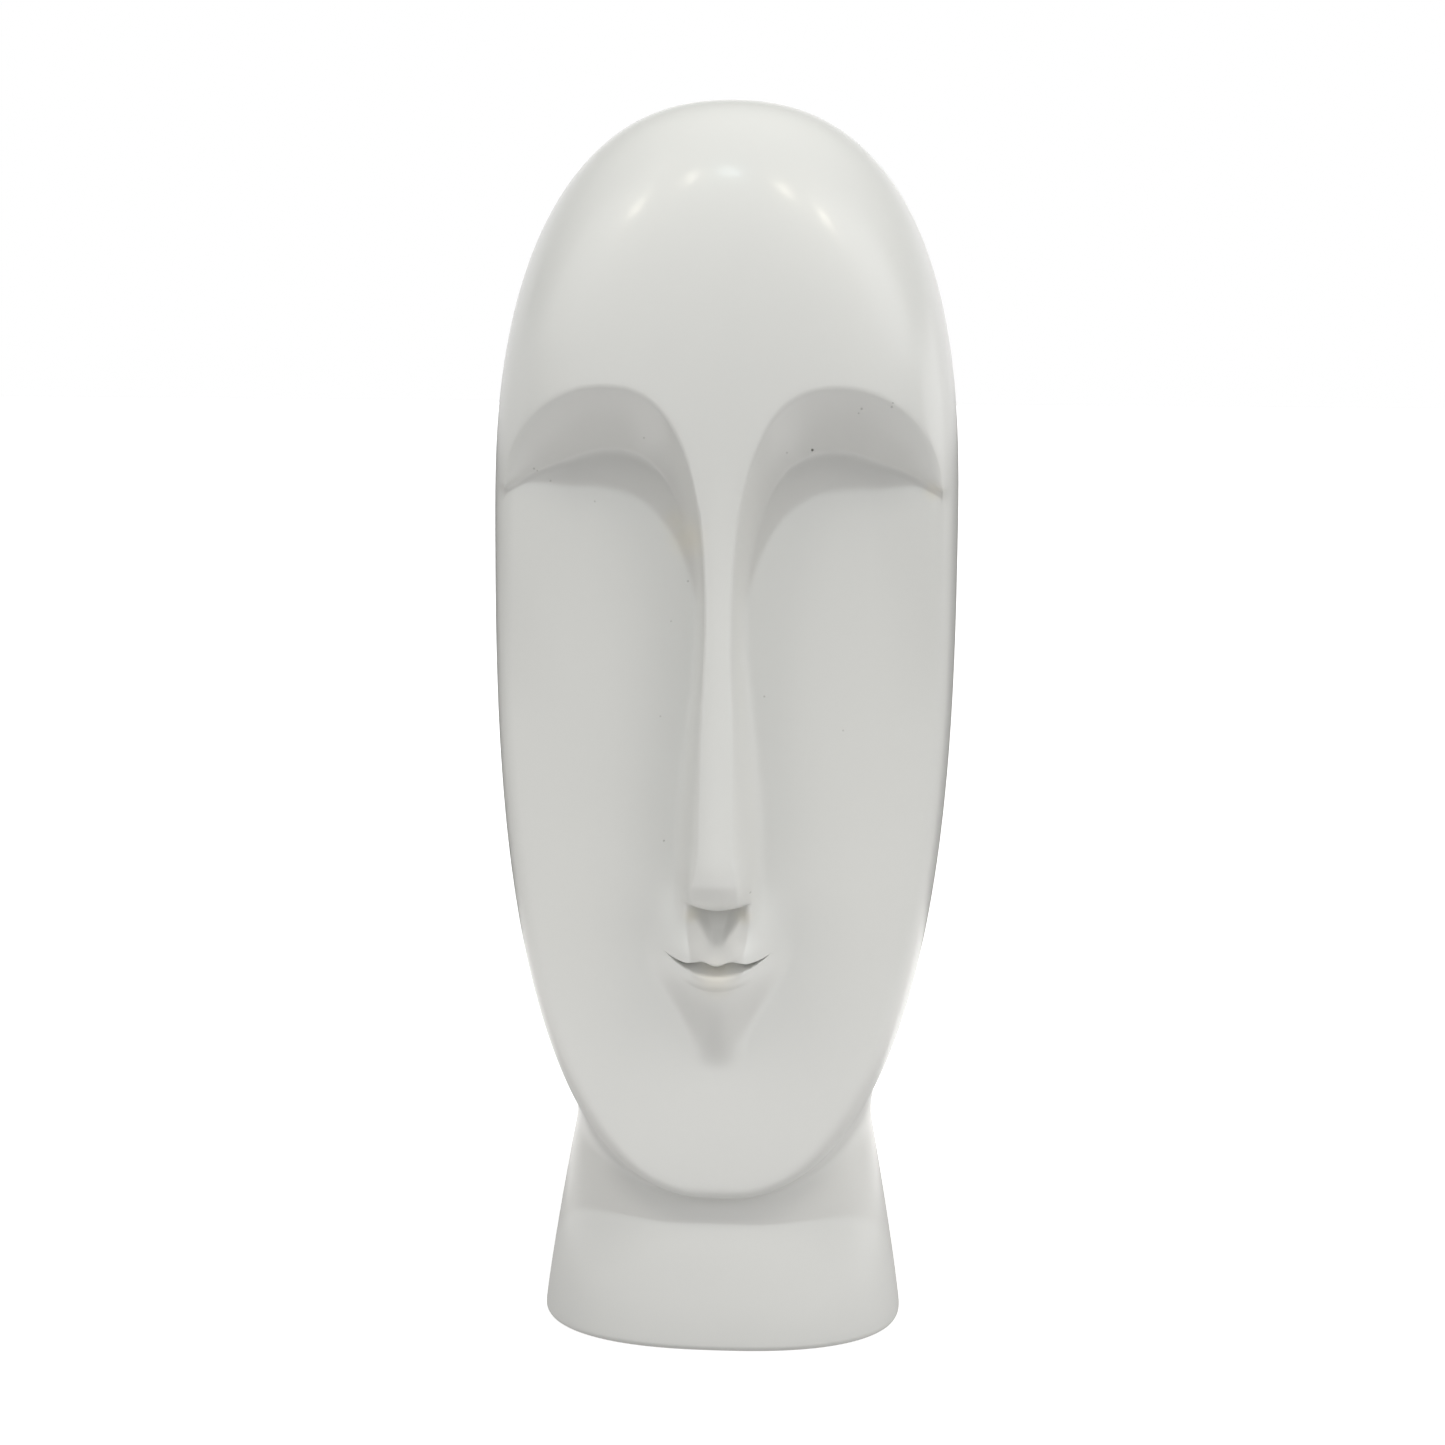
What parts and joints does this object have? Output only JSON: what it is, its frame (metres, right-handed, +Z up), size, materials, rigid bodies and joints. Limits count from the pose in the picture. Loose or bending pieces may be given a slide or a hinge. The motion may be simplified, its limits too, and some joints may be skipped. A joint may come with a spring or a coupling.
{
  "type": "abstract face sculpture",
  "caption": "Free-standing tabletop sculpture of a tall abstract face with closed arched brows, a long straight nose and small lips, on a flared neck with a flat foot; decorative ornament",
  "frame": {"origin": "middle of the foot's flat underside, on the surface that the sculpture stands on", "axes": "+Z up along the sculpture's height, which is its longest side; the face looks towards -Y; X runs across the face, and the shape is the same on both sides of X = 0"},
  "size_m": [0.1498, 0.1171, 0.4045],
  "materials": {
    "satin_white": "satin white glaze over cast ceramic, smooth, with a few fine pinholes"
  },
  "bodies": {
    "root": {"face_sculpture": "satin_white"}
  },
  "joints": []
}
